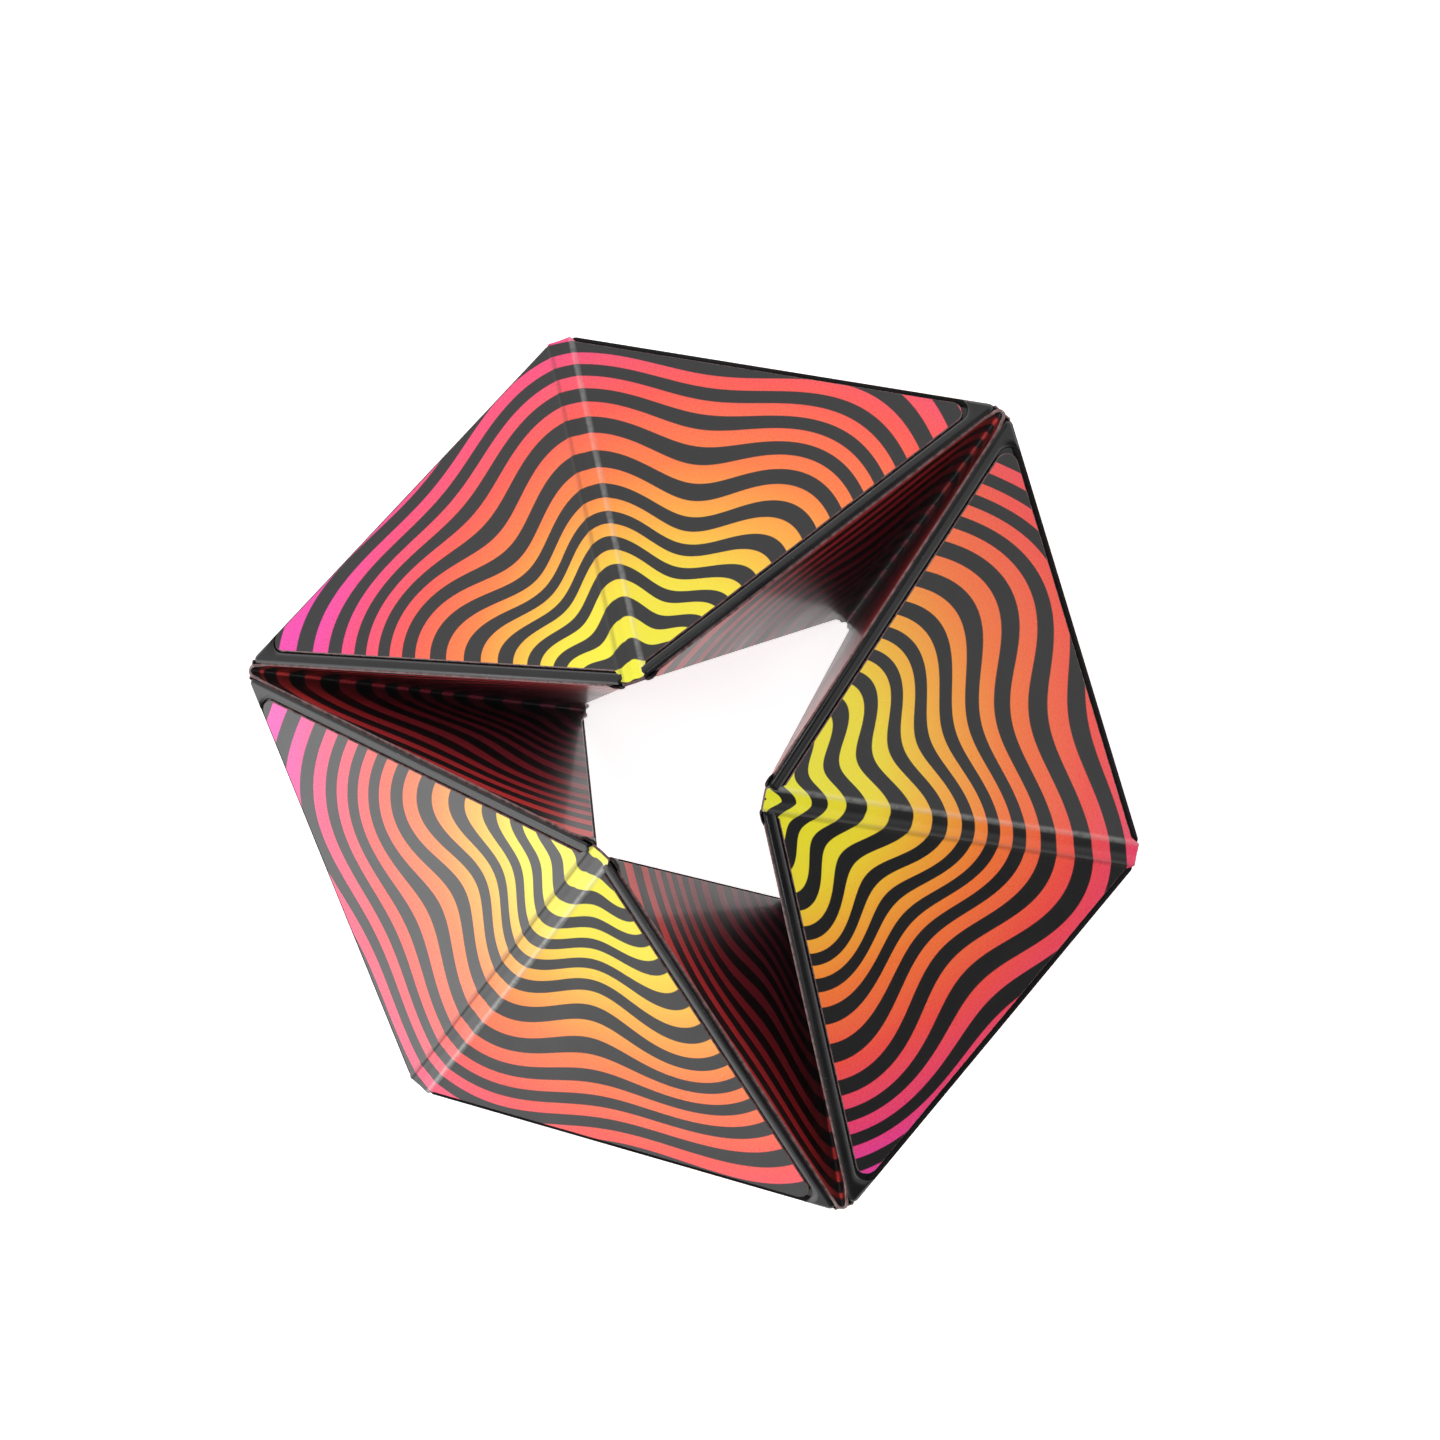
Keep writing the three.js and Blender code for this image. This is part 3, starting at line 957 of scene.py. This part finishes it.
TOP_PRINTS = {
    (1, 2): wave_print(
        BRIGHT_STOPS, pitch=12.6, sway=0.62, swell=0.20, lean=0.5, flow=-1.0, tilt=0.19,
        gain=1.04, offset=0.10, wear=0.26, light_side=-1,
    ),
    (3, 4): wave_print(
        BRIGHT_STOPS, pitch=12.7, sway=0.66, swell=0.22, lean=-0.6, flow=1.5, tilt=-0.15,
        gain=0.96, offset=0.45, wear=0.28,
    ),
    (5, 6): wave_print(
        BRIGHT_STOPS, pitch=12.7, sway=0.62, swell=0.22, lean=0.7, flow=-1.6, tilt=-0.17,
        offset=0.45, wear=0.40,
    ),
}


def print_of(kind, pair, index):
    """The print of a sheet. Only the top ones are seen well in the photograph."""
    if kind == "top":
        return TOP_PRINTS[pair]
    if kind == "under":
        return wave_print(
            DEEP_STOPS, lean=0.3 * index, flow=1.0, offset=0.3, duty=0.1, rough=0.34
        )
    if kind == "gap":
        return wave_print(
            DEEP_STOPS, lean=0.4 * index, flow=-0.8, offset=0.1, duty=0.1, wear=0.0,
            fold_shade=0.75, ends=(-1.0, 0.948), rough=0.34,
        )
    return wave_print(
        BRIGHT_STOPS, pitch=12.8, swell=0.16, lean=0.2 * index, flow=0.9 - 0.9 * index,
        offset=0.2, ends=(0.052, 2.0),
    )


def film_materials():
    made = {}
    for kind, pairs in SHEET_PAIRS.items():
        for index, pair in enumerate(pairs):
            name = f"film_print_{kind}_{pair[0]}_{pair[1]}"
            made[(kind, pair)] = film_material(name, print_of(kind, pair, index))
    return made


# ---- Floor, light and camera ----------------------------------------------------------------
TOWARDS_BRIGHT_WALL = (-0.96, -0.15, 0.25)
TOWARDS_OVERHEAD = (0.10, 0.10, 0.99)
TOWARDS_BACK = (0.15, -0.75, 0.65)
SKY_STRENGTH = 0.95
WALL_STRENGTH = 2.2  # added towards the bright wall
DIMMING = 0.92  # share of the light taken away overhead and behind the camera
FLOOR_GLOW = 0.64  # so that the floor reads white, as the photograph's background does
FLOOR_SIZE = 4.0
GLINT_PLACES = ((-0.76, 0.12, 0.63), (0.25, 0.35, 0.90), (-0.2, -0.6, 0.77))
GLINT_DISTANCE = 0.8
GLINT_SIZE = 0.11
GLINT_POWER = 0.22
FILL_PLACE = (0.05, 0.10, 0.85)
FILL_SIZE = 0.6
FILL_POWER = 3.1
CAMERA_PLACE = (0.1043, 0.0115, 0.5188)
CAMERA_RIGHT = (0.9313, -0.3188, -0.1762)
CAMERA_UP = (0.3104, 0.9477, -0.0743)
CAMERA_LENS = 116.05


def floor_material():
    """Matt white, a little luminous."""
    material, tree, shader = new_material("pale_floor")
    place = object_place(tree)
    share = noise(tree, place, 3.0, 2.0)
    colour = blend_colours(tree, share, (0.93, 0.93, 0.93, 1), (0.96, 0.96, 0.96, 1))
    tree.links.new(colour, shader.inputs["Base Color"])
    shader.inputs["Roughness"].default_value = 0.9
    shader.inputs["Specular IOR Level"].default_value = 0.1
    shader.inputs["Emission Color"].default_value = WHITE
    shader.inputs["Emission Strength"].default_value = FLOOR_GLOW
    return material


def build_floor(height):
    corners = ((-1, -1), (1, -1), (1, 1), (-1, 1))
    verts = [(x * FLOOR_SIZE, y * FLOOR_SIZE, height) for x, y in corners]
    floor = new_object("studio_floor", verts, [(0, 1, 2, 3)])
    floor.data.materials.append(floor_material())
    floor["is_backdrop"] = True


def lobe(tree, direction, towards, inner, outer):
    """1 where a sky direction is near another, falling to 0 at the outer cosine."""
    inputs = {0: direction, 1: Vector(towards).normalized()}
    near = node(tree, "ShaderNodeVectorMath", inputs, operation="DOT_PRODUCT").outputs["Value"]
    made = node(
        tree,
        "ShaderNodeMapRange",
        {"Value": near, 1: outer, 2: inner, 3: 0.0, 4: 1.0},
        interpolation_type="SMOOTHSTEP",
    )
    return made.outputs["Result"]


def build_sky():
    """A white studio surround: one brighter wall, dim overhead and behind the camera."""
    world = bpy.data.worlds.new("studio")
    bpy.context.scene.world = world
    world.use_nodes = True
    tree = world.node_tree
    direction = node(tree, "ShaderNodeTexCoord").outputs["Generated"]
    bright = lobe(tree, direction, TOWARDS_BRIGHT_WALL, 0.97, 0.80)
    overhead = lobe(tree, direction, TOWARDS_OVERHEAD, 0.88, 0.70)
    behind = lobe(tree, direction, TOWARDS_BACK, 0.90, 0.70)
    strength = calc(tree, "MULTIPLY_ADD", bright, WALL_STRENGTH, SKY_STRENGTH)
    for dim in (overhead, behind):
        share = calc(tree, "MULTIPLY_ADD", dim, -DIMMING, 1.0)
        strength = calc(tree, "MULTIPLY", strength, share)
    background = tree.nodes["Background"]
    background.inputs["Color"].default_value = WHITE
    tree.links.new(strength, background.inputs["Strength"])


def area_light(name, place, size, power):
    """A square light that faces the frame's origin."""
    data = bpy.data.lights.new(name, "AREA")
    data.shape = "SQUARE"
    data.size = size
    data.energy = power
    light = bpy.data.objects.new(name, data)
    light.location = place
    light.rotation_euler = (-Vector(place)).to_track_quat("-Z", "Y").to_euler()
    bpy.context.scene.collection.objects.link(light)
    return light


def build_lights():
    """A soft light from above that shows in no reflection, and three small ones that do."""
    fill = area_light("fill_softbox", FILL_PLACE, FILL_SIZE, FILL_POWER)
    fill.visible_glossy = False
    for index, towards in enumerate(GLINT_PLACES):
        place = Vector(towards).normalized() * GLINT_DISTANCE
        area_light(f"glint_{index}", place, GLINT_SIZE, GLINT_POWER)


def build_camera():
    """The photograph's view, from a perspective fit of the ring's corners."""
    back = Vector(CAMERA_RIGHT).cross(Vector(CAMERA_UP)).normalized()
    right = Vector(CAMERA_UP).cross(back).normalized()
    rows = Matrix((right, Vector(CAMERA_UP).normalized(), back)).transposed()
    data = bpy.data.cameras.new("photo_view")
    data.lens = CAMERA_LENS
    data.sensor_width = 36.0
    data.clip_start = 0.01
    camera = bpy.data.objects.new("photo_view", data)
    camera.matrix_world = Matrix.Translation(CAMERA_PLACE) @ rows.to_4x4()
    bpy.context.scene.collection.objects.link(camera)
    bpy.context.scene.camera = camera
    bpy.context.scene.view_settings.view_transform = "Standard"
    bpy.context.scene.view_settings.look = "None"


def main():
    place_shells(shell_material())
    place_sheets(film_materials(), film_edge_material())
    nickel = magnet_material()
    for name, cad_node in frame["nodes"].items():
        if "magnet" in name:
            cad_node.data.materials.clear()
            cad_node.data.materials.append(nickel)
    build_floor(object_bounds()[0][2])
    build_sky()
    build_lights()
    build_camera()


main()
